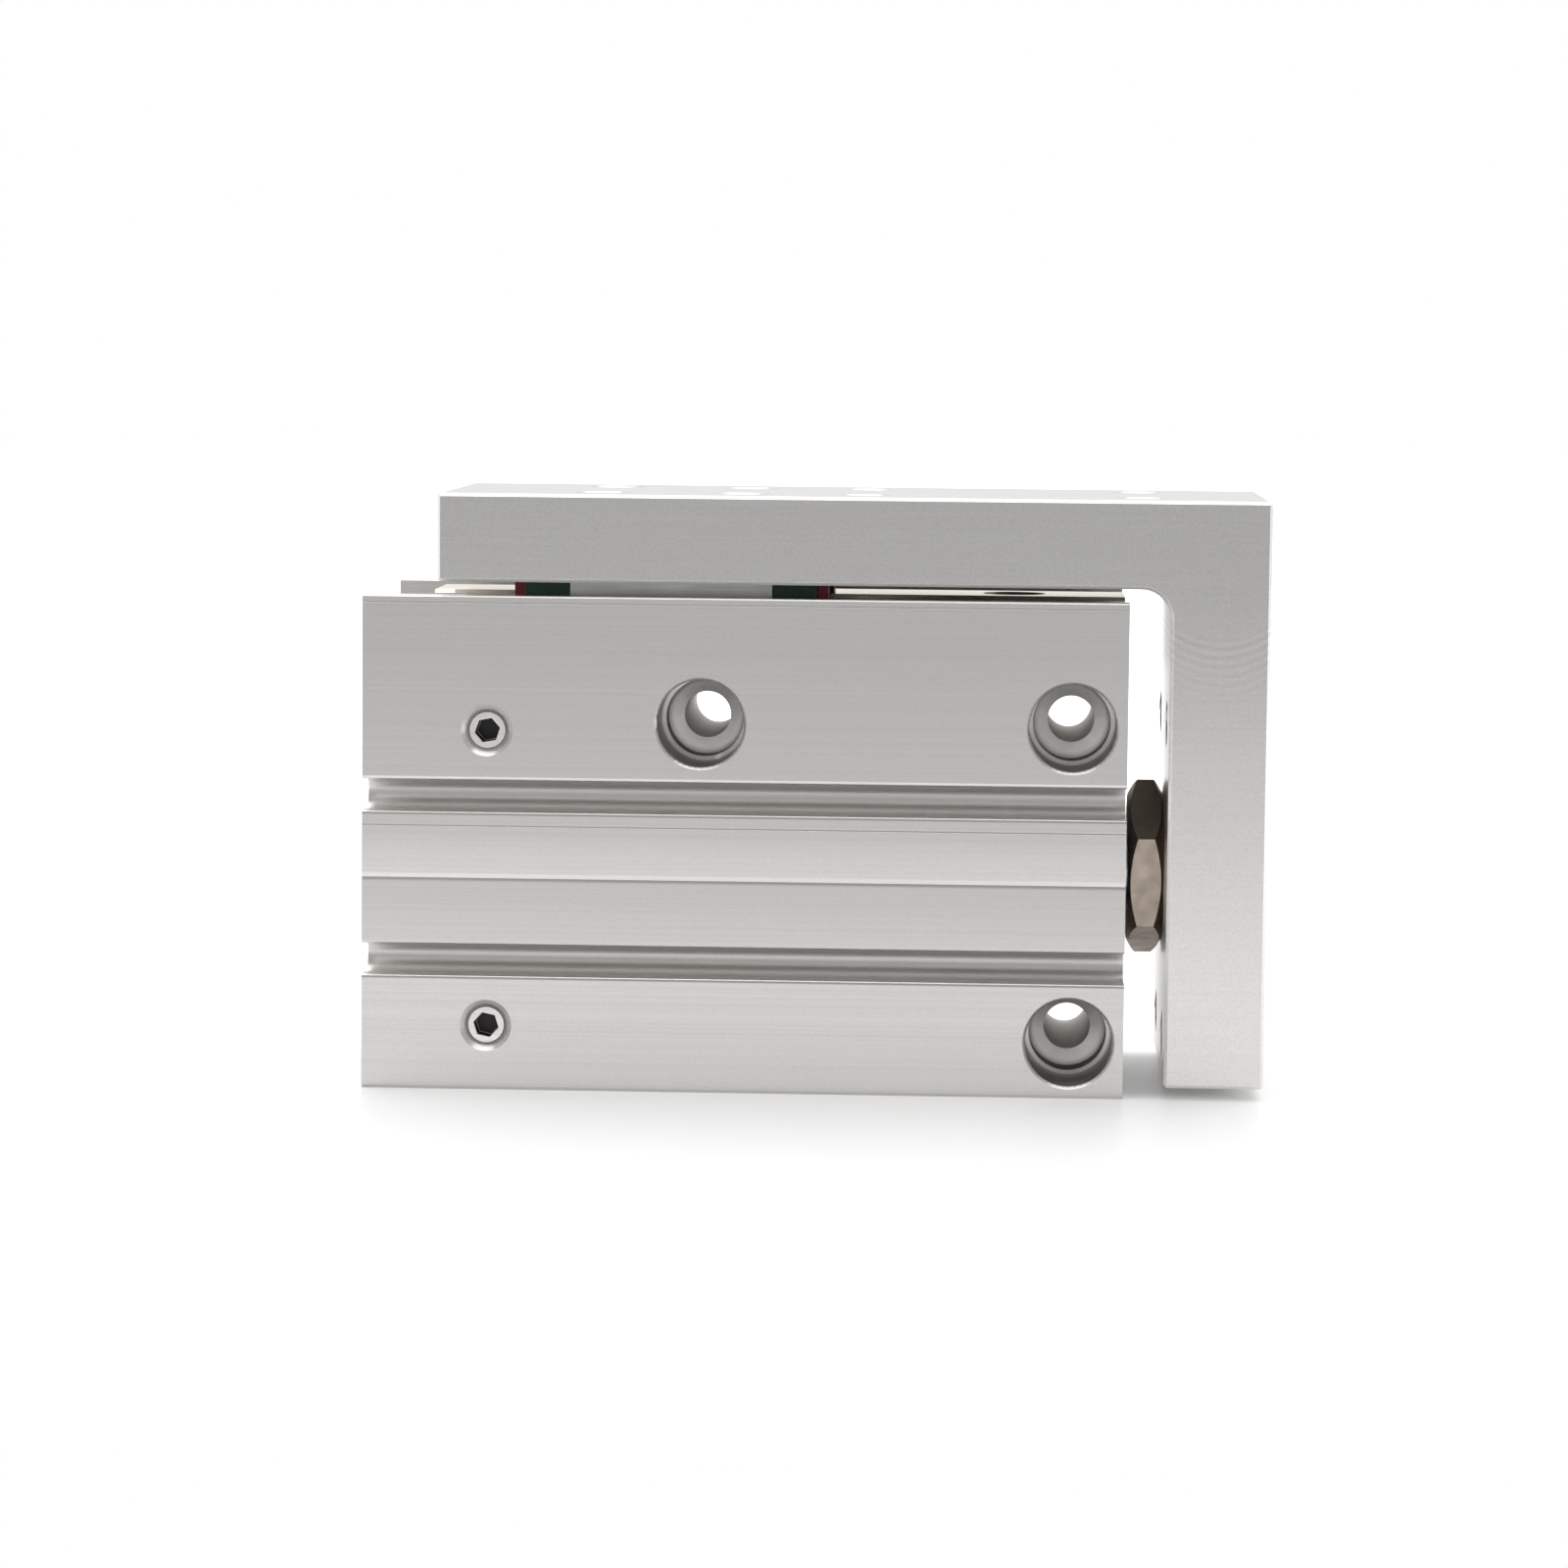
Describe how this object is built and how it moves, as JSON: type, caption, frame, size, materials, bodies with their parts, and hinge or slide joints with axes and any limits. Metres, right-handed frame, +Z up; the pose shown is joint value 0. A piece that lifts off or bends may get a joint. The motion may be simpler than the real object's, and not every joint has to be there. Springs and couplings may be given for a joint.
{
  "type": "pneumatic slide table",
  "caption": "Compact pneumatic slide: air cylinder body with a linear guide in a channel and an L-shaped table pushed by the piston rod.",
  "frame": {"origin": "on the base plane, under the middle of the box around the retracted slide", "axes": "+X along the stroke, the way the table extends; +Z up from the base to the table; +Y across, away from the side with the port plugs"},
  "size_m": [0.0974, 0.038, 0.0645],
  "materials": {
    "anodised_body": "satin clear anodised extrusion with fine drawing lines",
    "anodised_table": "satin anodised, milled with an end mill",
    "rail_steel": "ground",
    "block_steel": "ground",
    "black_steel": "black oxide",
    "plug_steel": "plain, lightly oiled",
    "nut_steel": "turned and milled, slightly browned",
    "ball_steel": "polished",
    "rod_chrome": "hard chrome",
    "cover_aluminium": "turned",
    "bush_bronze": "turned",
    "cap_green": "moulded",
    "seal_red": "moulded",
    "rubber": "matt",
    "wear_resin": "moulded",
    "magnet_black": "bonded"
  },
  "bodies": {
    "cylinder": {"cylinder_body": "anodised_body", "guide_rail": "rail_steel", "rail_screws": "black_steel", "upper_port_plug": "plug_steel", "lower_port_plug": "plug_steel", "passage_balls": "ball_steel", "head_cover": "cover_aluminium", "head_cover_o_ring": "rubber", "head_cover_clip": "black_steel", "rear_bumper": "rubber", "rod_cover": "cover_aluminium", "rod_cover_o_ring": "rubber", "rod_cover_clip": "black_steel", "rod_bush": "bush_bronze", "rod_seal": "rubber", "front_bumper": "rubber"},
    "slide_table": {"table": "anodised_table", "guide_block": "block_steel", "rear_end_cap": "cap_green", "front_end_cap": "cap_green", "rear_end_seal": "seal_red", "front_end_seal": "seal_red", "seal_screws": "black_steel", "bearing_balls": "ball_steel", "block_screws": "black_steel", "piston_rod": "rod_chrome", "rod_nut": "nut_steel", "rod_end_screw": "black_steel", "rod_end_washer": "plug_steel", "piston": "cover_aluminium", "piston_retainer": "cover_aluminium", "piston_seal": "rubber", "wear_ring": "wear_resin", "magnet": "magnet_black"}
  },
  "joints": [
    {"name": "table_slide", "type": "slide", "parent": "cylinder", "child": "slide_table", "axis": [1, 0, 0], "range_m": [0, 0.03]}
  ]
}
